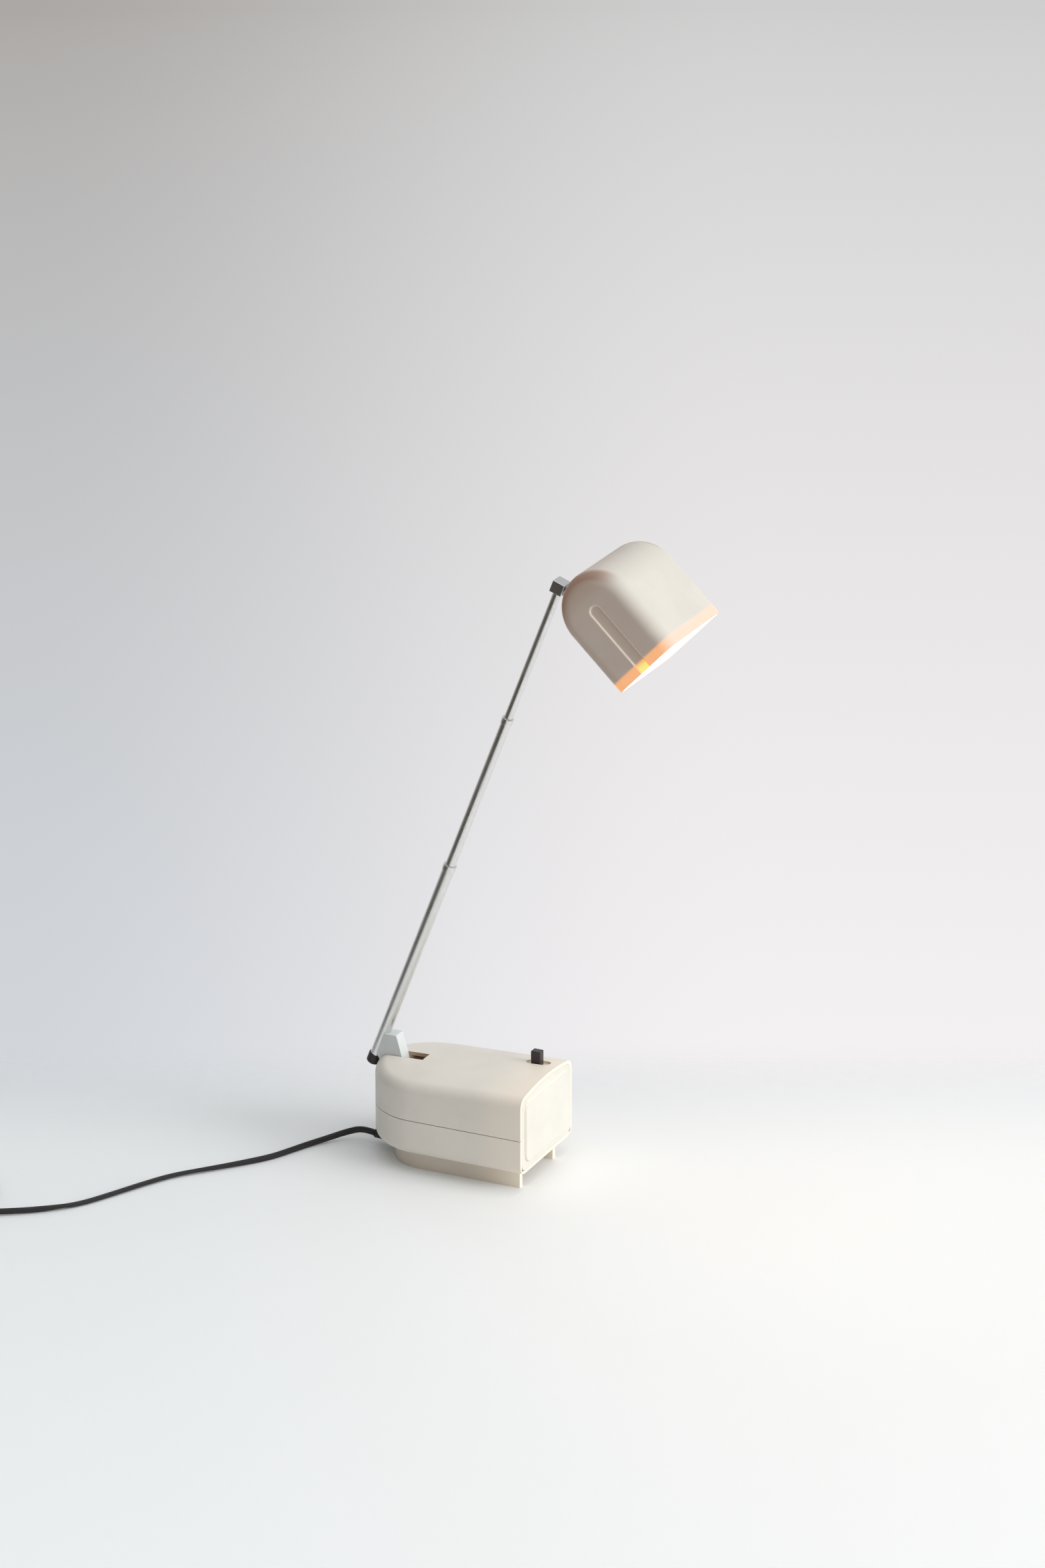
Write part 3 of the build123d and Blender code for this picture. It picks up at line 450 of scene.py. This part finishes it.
def dress_metal_parts():
    chrome = metal("chrome", srgb(226, 227, 226), roughness=0.3, run=arm_run, scale=tube_streak_scale)
    dress(chrome, "outer_tube", "middle_tube", "upper_tube", "outer_collar", "middle_collar", "lug_screws")
    dress(metal("knuckle_chrome", srgb(209, 211, 210), roughness=0.3), "knuckle")
    dress(
        metal("plated_steel", srgb(190, 190, 192), roughness=0.28),
        "base_screws", "foot_screws", "pivot_pin", "pivot_clip", "switch_screws", "transformer_strap",
        "transformer_screws", "bracket_rivets", "hinge_pin", "hinge_washers",
    )
    dress(metal("laminations", srgb(92, 88, 84), roughness=0.45, run=upwards), "transformer_core")
    dress(metal("brass", srgb(214, 182, 112), roughness=0.2), "plug_pins", "bulb_cap")


# Shade: its colours, with a painted highlight for the groove's edges, painted shade for the dome's rounded
# edges and a cut in colour under the glowing rim, and what the lamp's light adds to each part of it, where it
# shines through
shade_colour = srgb(203, 205, 198)
groove_highlight_colour = srgb(250, 247, 238)
shaded_dome_colour = srgb(144, 119, 104)
# Share of the shade's colour left in the rim band, part of the rim's painted glow
rim_glow_tint = (0.88, 0.69, 0.90)
rim_light = (0.69, 0.275, 0.005)
thin_light = (0.72, 0.66, 0.03)
wall_light = (0.085, 0.030, 0.012)
inside_light = (1.0, 0.95, 0.86)
reflector_glow = 0.06
glass_glow = 1.3

# Where each of the shade's glows and its painted shade begins and is full: out of the mouth from the shade's
# centre
glow_band = 6.5 * MM
glow_edge = shade_straight - glow_band
rim_span = (glow_edge - 1.2 * MM, glow_edge + 1.0 * MM)
thin_span = (shade_straight - 1.1 * glow_band, shade_straight - 0.3 * glow_band)
inside_span = (0.0, 10.0 * MM)
# Painted shade on the dome's rounded edges: how far back from the shade's centre it begins and is full
shaded_dome_back_span = (-4.0 * MM, -20.0 * MM)

# The same across the shade, from its middle plane
flat_side_span = (shade_half_width - 2.0 * groove_depth, shade_half_width - 1.5 * groove_depth)
# The same for the painted shade on the dome's rounded edges, across the shade
shaded_dome_edge_span = (shade_half_width - 1.2 * shade_edge_radius, shade_half_width - 0.5 * shade_edge_radius)
shaded_dome_side_span = (shade_half_width, shade_half_width - 2.0 * MM)
shaded_dome_side_weights = (0.3, 0.8)

# The same from the groove's middle line and its edge, and in from the shade's outer face
groove_span = (groove_half, groove_half - 0.6 * MM)
# Width of the painted highlight along the groove's edge, and its weights on the upper and the lower side
groove_highlight_width = 0.9 * MM
groove_highlight_span = (groove_highlight_width, 0.3 * groove_highlight_width)
groove_highlight_weights = (0.9, 1.0)
depth_span = (0.55 * shade_wall, 0.8 * shade_wall)


def groove_edge(shader, out, rise):
    """1 along the edge of the groove, which gets a painted highlight, most of all on its lower side."""
    before_end = shader.math("MINIMUM", shader.minus(out, shade_straight - groove_length + groove_half), 0.0)
    off_edge = shader.math("ABSOLUTE", shader.minus(shader.diagonal(before_end, rise), groove_half))
    lower = shader.ramp(rise, groove_half, -groove_half, *groove_highlight_weights)
    return shader.product(shader.ramp(off_edge, *groove_highlight_span), lower)


def shaded_dome_edge(shader, out, side):
    """1 on the rounded edge of the dome, which is painted darker and browner as painted shade."""
    return shader.product(
        shader.ramp(out, *shaded_dome_back_span),
        shader.ramp(side, *shaded_dome_edge_span),
        shader.ramp(side, *shaded_dome_side_span, *shaded_dome_side_weights),
    )


def within_wall(shader, side, up):
    """1 on the inner face of the shade and 0 on its outer face, from the depth under its rounded outline."""
    past_side = shader.minus(side, shade_half_width - shade_edge_radius)
    past_up = shader.minus(shader.math("ABSOLUTE", up), shade_half_height - shade_edge_radius)
    in_corner = shader.diagonal(shader.math("MAXIMUM", past_side, 0.0), shader.math("MAXIMUM", past_up, 0.0))
    off_corner = shader.math("MINIMUM", shader.math("MAXIMUM", past_side, past_up), 0.0)
    depth = shader.minus(shade_edge_radius, shader.math("ADD", in_corner, off_corner))
    return shader.ramp(depth, *depth_span)


def shade_plastic():
    """The shade's plastic: a groove with a painted highlight on its edges, painted shade on the dome's
    rounded edges, and a rim that glows.
    """
    shader = plastic("shade_plastic", shade_colour, roughness=0.5, grain=0.14, edge=groove_depth)
    out = shader.along(mouth_dir, shade_centre.dot(mouth_dir))
    up = shader.along(shade_up, shade_centre.dot(shade_up))
    side = shader.math("ABSOLUTE", shader.along(crossways))
    rise = shader.minus(up, groove_rise)
    on_flat = shader.ramp(side, *flat_side_span)
    rim = shader.ramp(out, *rim_span)
    # Painted highlight along the groove's edges
    shader.tint(shader.product(groove_edge(shader, out, rise), on_flat), groove_highlight_colour)
    # Painted shade: the dome's rounded edges darker and browner
    shader.tint(shaded_dome_edge(shader, out, side), shaded_dome_colour)
    # Painted glow: the shade's colour cut down in the rim band, under the rim's light
    shader.tint(rim, tuple(part * share for part, share in zip(shade_colour, rim_glow_tint)))
    in_groove = shader.ramp(shader.math("ABSOLUTE", rise), *groove_span)
    thin = shader.product(in_groove, on_flat, shader.ramp(out, *thin_span))
    inside = shader.product(within_wall(shader, side, up), shader.ramp(out, *inside_span))
    outside = shader.mix(rim, wall_light, shader.mix(thin, rim_light, thin_light))
    shader.set("Emission Color", shader.mix(inside, outside, inside_light))
    shader.set("Emission Strength", 1.0)
    return shader


def glowing(name, colour, strength, roughness):
    """A smooth surface that adds light of its own."""
    shader = plastic(name, colour, roughness=roughness, grain=0.02, edge=0.0)
    shader.set("Emission Color", inside_light)
    shader.set("Emission Strength", strength)
    return shader


def dress_head():
    dress(shade_plastic(), "shade")
    dress(glowing("reflector_white", srgb(245, 243, 238), reflector_glow, roughness=0.3), "reflector")
    dress(glowing("lamp_glass", srgb(250, 246, 236), glass_glow, roughness=0.2), "bulb_glass")


dress_base()
dress_small_parts()
dress_metal_parts()
dress_head()


# Cord
def lamp_point(place):
    """A place given from the back of the base, in millimetres, in the row frame."""
    return Vector((back_of_base + place[0] * MM, place[1] * MM, place[2] * MM))


def coil_point(turn):
    """A place on the coil: in by one pitch a turn, up to the second layer as it reverses, and out again."""
    radius = coil_inner_radius + coil_pitch * abs(turn - coil_turns_per_layer - coil_climb / 2)
    climb = min(1.0, max(0.0, (turn - coil_turns_per_layer) / coil_climb))
    angle = math.radians(coil_start_angle - 360.0 * turn)
    height = cord_radius + coil_lift + coil_layer * (1 - math.cos(math.pi * climb)) / 2
    x = coil_centre[0] + radius * math.cos(angle)
    y = coil_centre[1] + radius * math.sin(angle)
    return Vector((x, y, height))


def coil_heading(turn):
    step = 0.005
    return (coil_point(turn + step) - coil_point(max(0.0, turn - step))).normalized()


def cord_points():
    """The route's points, the straight lead into the coil, its turns and the tail to the plug."""
    turns = 2 * coil_turns_per_layer + coil_climb + coil_last_turn
    count = round(turns * coil_points_per_turn)
    entry = coil_point(0) - coil_heading(0) * 2 * cord_radius
    points = [Vector(place) for place in cord_route]
    points += [entry - coil_heading(0) * coil_approach, entry]
    points += [coil_point(turns * step / count) for step in range(count + 1)]
    leave = coil_point(turns) + coil_heading(turns) * 2 * cord_radius
    level = coil_heading(turns) * tail_length
    drop = upwards * -tail_drop
    points += [leave, leave + level / 3, leave + level * 2 / 3 + drop, leave + level + drop]
    return [lamp_point(point) for point in points]


def smooth_route(points):
    """Points along the route's smooth spline."""
    curve = bpy.data.curves.new("cord_route", "CURVE")
    curve.dimensions = "3D"
    curve.resolution_u = route_resolution
    spline = curve.splines.new("NURBS")
    spline.points.add(len(points) - 1)
    for point, place in zip(spline.points, points):
        point.co = (*place, 1.0)
    spline.order_u = 3
    spline.use_endpoint_u = True
    holder = bpy.data.objects.new("cord_route", curve)
    mesh = bpy.data.meshes.new_from_object(holder)
    path = [vertex.co.copy() for vertex in mesh.vertices]
    bpy.data.objects.remove(holder)
    bpy.data.meshes.remove(mesh)
    bpy.data.curves.remove(curve)
    return path


def twin_section():
    """Two round cores side by side, with a shallow valley between them."""
    core = cord_thickness / 2
    apart = cord_width / 2 - core
    outline = []
    for side in (1, -1):
        for turn in core_turns:
            angle = math.radians(turn)
            outline.append((side * (apart + core * math.cos(angle)), side * core * math.sin(angle)))
    return outline


def twist_at(distance):
    """How far the flex is turned on edge, eased between the given places."""
    for (start, low), (end, high) in zip(flex_twists, flex_twists[1:]):
        if distance < end:
            share = (distance - start) / (end - start)
            return math.radians(low + (high - low) * (1 - math.cos(math.pi * share)) / 2)
    return math.radians(flex_twists[-1][1])


def broad_side(ahead):
    """The flex lies flat; where it rises straight up, its broad side stays across the lamp."""
    level = ahead.cross(upwards)
    if level.length < steep_share * ahead.length:
        return -crossways
    return level.normalized()


def mesh_object(name, vertices, faces, material):
    mesh = bpy.data.meshes.new(name)
    mesh.from_pydata(vertices, [], faces)
    mesh.update()
    mesh.materials.append(material)
    piece = bpy.data.objects.new(name, mesh)
    bpy.context.collection.objects.link(piece)
    return piece


def flex_piece(name, path, material):
    """A twin flex along a path, lying flat or turned on edge, its underside where a round cord's would be."""
    section = twin_section()
    vertices, faces = [], []
    count = len(section)
    distance = 0.0
    for index, place in enumerate(path):
        before = path[max(index - 1, 0)]
        distance += (place - before).length
        ahead = path[min(index + 1, len(path) - 1)] - before
        turn = twist_at(distance)
        side = Quaternion(ahead, turn) @ broad_side(ahead)
        rise = side.cross(ahead).normalized()
        half_height = (cord_width * math.sin(turn) + cord_thickness * math.cos(turn)) / 2
        sunk = place - upwards * max(0.0, cord_radius * MM - half_height)
        vertices += [sunk + side * across + rise * up for across, up in section]
    for ring in range(len(path) - 1):
        for step in range(count):
            here, beside = ring * count + step, ring * count + (step + 1) % count
            faces.append((here, beside, beside + count, here + count))
    faces.append(tuple(reversed(range(count))))
    faces.append(tuple(range((len(path) - 1) * count, len(path) * count)))
    piece = mesh_object(name, vertices, faces, material)
    for polygon in piece.data.polygons:
        polygon.use_smooth = True
    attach(piece, "base")
    return piece


def lead_points():
    """The lead inside the casing: level in from the strain relief, round a bend and up."""
    low, high = (Vector(corner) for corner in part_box("mains_lead"))
    inner_x = high.x - cord_radius * MM
    relief = Vector((low.x, (low.y + high.y) / 2, low.z + cord_radius * MM))
    bend = Vector((inner_x, relief.y, relief.z))
    top = Vector((inner_x, relief.y, high.z))
    return [relief, relief.lerp(bend, lead_bend_start), bend, bend.lerp(top, lead_bend_end), top]


def make_cord():
    rubber = plastic("flex_rubber", srgb(34, 32, 33), roughness=0.48, grain=0.06).material
    path = smooth_route(cord_points())
    piece = flex_piece("mains_flex", path, rubber)
    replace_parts(piece, "cord", "cord_coil", "cord_tail")
    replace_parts(flex_piece("lead_flex", smooth_route(lead_points()), rubber), "mains_lead")


make_cord()


# Paper floor and wall: places to the right of the lamp's middle and away from it, in metres
table_front = -0.72
table_left = -0.20
table_fade = 0.02
floor_reach = 1.6
floor_fade = 0.6
wall_depth = 0.225
wall_height = 2.0
wall_left = -0.45
wall_right = 1.6
horizon_fade = 0.12
view_half_width = 0.34
view_height = 0.73
view_span = (-1.05 * view_half_width, 0.5 * view_half_width)
paper_roughness = 0.85
paper_specular = 0.15
floor_left_colour = srgb(241, 243, 244)
floor_right_colour = srgb(243, 243, 242)
floor_far_colour = srgb(229, 231, 233)
backdrop_colours = {
    "top left": srgb(172, 168, 165),
    "top right": srgb(206, 206, 206),
    "low left": srgb(210, 214, 219),
    "low right": srgb(244, 241, 242),
}
backdrop_fall = 0.7


def backdrop(tree, to_right, low):
    """The photo's soft fall of light behind the lamp."""
    top_row = tree.mix(to_right, backdrop_colours["top left"], backdrop_colours["top right"])
    low_row = tree.mix(to_right, backdrop_colours["low left"], backdrop_colours["low right"])
    return tree.mix(tree.math("POWER", low, backdrop_fall), top_row, low_row)


def over_view(shader):
    """0 at the left of the photo's view, rising to 1 right of its middle."""
    return shader.ramp(shader.along(right), *view_span)


def paper(name):
    shader = Shader(name)
    shader.set("Roughness", paper_roughness)
    shader.set("Specular IOR Level", paper_specular)
    front_row = shader.mix(over_view(shader), floor_left_colour, floor_right_colour)
    # Painted shade: the floor is painted darker towards the foot of the wall
    far = shader.ramp(shader.along(away), 0.0, wall_depth)
    shader.set("Base Color", shader.mix(far, front_row, floor_far_colour))
    return shader


def on_table(shader):
    """1 on the table, whose left edge runs from its front corner to the foot of the wall."""
    left_edge = Vector((wall_left - table_left, wall_depth - table_front)).normalized()
    inward = right * left_edge.y - away * left_edge.x
    left_corner = right * table_left + away * table_front
    return shader.product(
        shader.ramp(shader.along(inward, inward.dot(left_corner)), 0.0, table_fade),
        shader.ramp(shader.along(away), table_front, table_front + table_fade),
    )


def in_sight(shader):
    """1 near the lamp, fading out far away and towards the wall."""
    distance = shader.add("ShaderNodeVectorMath", operation="LENGTH")
    shader.put(distance.inputs[0], shader.place)
    return shader.product(
        shader.ramp(distance.outputs["Value"], floor_reach, floor_reach - floor_fade),
        shader.ramp(shader.along(away), wall_depth, wall_depth - horizon_fade),
    )


def floor_paper():
    """Matt paper that throws light back from the table alone, and fades out far from the lamp in the view."""
    shader = paper("floor_paper")
    seen = shader.ray("Is Camera Ray")
    for_camera = shader.product(seen, shader.minus(1.0, in_sight(shader)))
    for_light = shader.product(shader.minus(1.0, seen), shader.minus(1.0, on_table(shader)))
    clear = shader.math("ADD", for_camera, for_light)
    see_through = shader.add("ShaderNodeBsdfTransparent").outputs[0]
    shader.put(shader.output, shader.blend(clear, shader.surface.outputs[0], see_through))
    return shader


def wall_paper():
    """Matt paper that metal shows with the backdrop's fall of light."""
    shader = paper("wall_paper")
    low = shader.minus(1.0, shader.math("DIVIDE", shader.along(upwards), view_height))
    glow = shader.add("ShaderNodeEmission")
    shader.put(glow.inputs["Color"], backdrop(shader, over_view(shader), low))
    mirrored = shader.ray("Is Glossy Ray")
    shader.put(shader.output, shader.blend(mirrored, shader.surface.outputs[0], glow.outputs[0]))
    return shader


def sheet(name, corners, shader):
    piece = mesh_object(name, corners, [tuple(range(len(corners)))], shader.material)
    return piece


def make_paper():
    """The camera sees the backdrop in place of the wall, so that no side of the lamp is hidden."""
    front = away * -floor_reach
    behind = away * wall_depth
    side = right * floor_reach
    foot_left, foot_right = behind + right * wall_left, behind + right * wall_right
    rise = upwards * wall_height
    sheet("floor", [front - side, front + side, behind + side, behind - side], floor_paper())
    wall = sheet("wall", [foot_left, foot_right, foot_right + rise, foot_left + rise], wall_paper())
    wall.visible_camera = False


make_paper()

# Room: its light by direction. Spans and limits are cosines to the direction that they go with
room_light = 0.565
below_light = 0.22
below_span = (-0.3, 0.15)
overhead_light = 2.6
overhead_dir = right * 0.4 + upwards * 0.92
overhead_span = (0.25, 0.95)
front_left_light = 0.55
front_left_dir = right * -0.66 - away * 0.75
front_left_span = (0.35, 0.95)
left_light = 0.37
left_light_in_metal = 0.57
left_span = (-0.1, 0.75)
low_colour = (1.05, 0.90, 0.75)
high_colour = (0.97, 0.99, 1.0)
colour_span = (-0.1, 0.5)
backdrop_top = -0.216
backdrop_foot = -0.388
backdrop_span = (-0.092, 0.044)


def make_world():
    """A room that is pale and cool above, warm and dim below, and dark to the left of the camera."""
    world = bpy.data.worlds.new("room")
    bpy.context.scene.world = world
    world.use_nodes = True
    sky = NodeTree(world.node_tree, "Generated")
    height = sky.along(upwards)
    in_metal = sky.product(sky.ray("Is Glossy Ray"), left_light_in_metal - left_light)
    level = sky.product(
        sky.ramp(height, *below_span, below_light, room_light),
        sky.ramp(sky.along(overhead_dir), *overhead_span, 1.0, overhead_light),
        sky.ramp(sky.along(front_left_dir), *front_left_span, 1.0, front_left_light),
        sky.ramp(sky.along(-right), *left_span, 1.0, sky.math("ADD", left_light, in_metal)),
    )
    room = sky.tree.nodes["Background"]
    sky.put(room.inputs["Color"], sky.mix(sky.ramp(height, *colour_span), low_colour, high_colour))
    sky.put(room.inputs["Strength"], level)
    to_right = sky.ramp(sky.along(right), *backdrop_span)
    low = sky.math("DIVIDE", sky.minus(backdrop_top, height), backdrop_top - backdrop_foot)
    low = sky.math("MINIMUM", sky.math("MAXIMUM", low, 0.0), 1.0)
    seen = sky.add("ShaderNodeBackground")
    sky.put(seen.inputs["Color"], backdrop(sky, to_right, low))
    surface = sky.blend(sky.ray("Is Camera Ray"), room.outputs[0], seen.outputs[0])
    sky.put(sky.tree.nodes["World Output"].inputs["Surface"], surface)


make_world()

# Lights: a window to the right, the lamp itself, and what comes through the casing at the arm's slot
window_place = right * 3.3 - away * 1.5 + upwards * 1.5
window_target = upwards * 0.2
window_size = 2.2
window_power = 72.0
window_colour = (0.98, 0.995, 1.0)
lamp_place = shade_centre + mouth_dir * 0.052
lamp_size = 0.04
lamp_power = 0.2
lamp_colour = (1.0, 0.82, 0.66)
slot_light_place = lamp_point((32.0, 0.0, 54.0))
slot_light_radius = 0.004
slot_light_power = 0.0010
slot_light_colour = (1.0, 0.62, 0.38)


def hang_light(data, place, power, colour):
    """A light that metal doesn't mirror."""
    data.energy = power
    data.color = colour
    light = bpy.data.objects.new(data.name, data)
    light.location = place
    light.visible_glossy = False
    bpy.context.collection.objects.link(light)
    return light


def disk_light(name, place, target, size, power, colour):
    data = bpy.data.lights.new(name, "AREA")
    data.shape = "DISK"
    data.size = size
    light = hang_light(data, place, power, colour)
    light.rotation_euler = (target - place).to_track_quat("-Z", "Y").to_euler()


def point_light(name, place, radius, power, colour):
    data = bpy.data.lights.new(name, "POINT")
    data.shadow_soft_size = radius
    hang_light(data, place, power, colour)


disk_light("window", window_place, window_target, window_size, window_power, window_colour)
disk_light("lamp_light", lamp_place, shade_centre + mouth_dir, lamp_size, lamp_power, lamp_colour)
point_light("slot_light", slot_light_place, slot_light_radius, slot_light_power, slot_light_colour)
